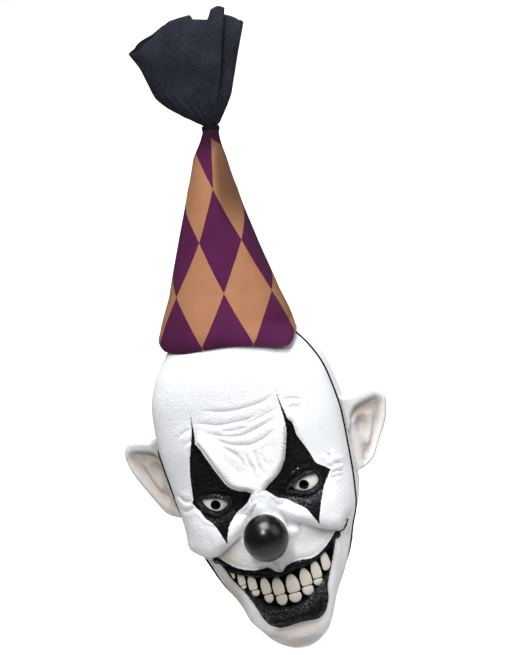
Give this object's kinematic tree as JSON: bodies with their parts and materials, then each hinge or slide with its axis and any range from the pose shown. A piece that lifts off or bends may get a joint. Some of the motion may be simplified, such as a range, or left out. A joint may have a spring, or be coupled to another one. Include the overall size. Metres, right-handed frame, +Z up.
{
  "type": "clown mask with a cone hat",
  "caption": "Full-head clown mask of hollow latex with standing ears, ball nose, bared teeth and eye holes, under a leaning cloth cone hat tied off in a gathered cloth top.",
  "frame": {"origin": "inside of the crown at its highest point, where the wearer's head touches the mask", "axes": "+Z up along the wearer's upright head, the face looks along -Y, +X to the viewer's right"},
  "size_m": [0.2576, 0.2376, 0.6043],
  "materials": {
    "white_latex": "matte latex with gloss black paint round the eyes and mouth",
    "eye_white": "gloss",
    "tooth_ivory": "satin",
    "black_gloss": "satin",
    "harlequin_cloth": "purple and tan lozenges",
    "black_thread": "matte",
    "black_cloth": "fine ribbed weave"
  },
  "bodies": {
    "root": {"face_front": "white_latex", "head_back": "white_latex", "left_eye": "eye_white", "right_eye": "eye_white", "nose_ball": "black_gloss", "upper_teeth": "tooth_ivory", "lower_teeth": "tooth_ivory", "hat_cone": "harlequin_cloth", "neck_tie": "black_thread", "topknot": "black_cloth"}
  },
  "joints": []
}
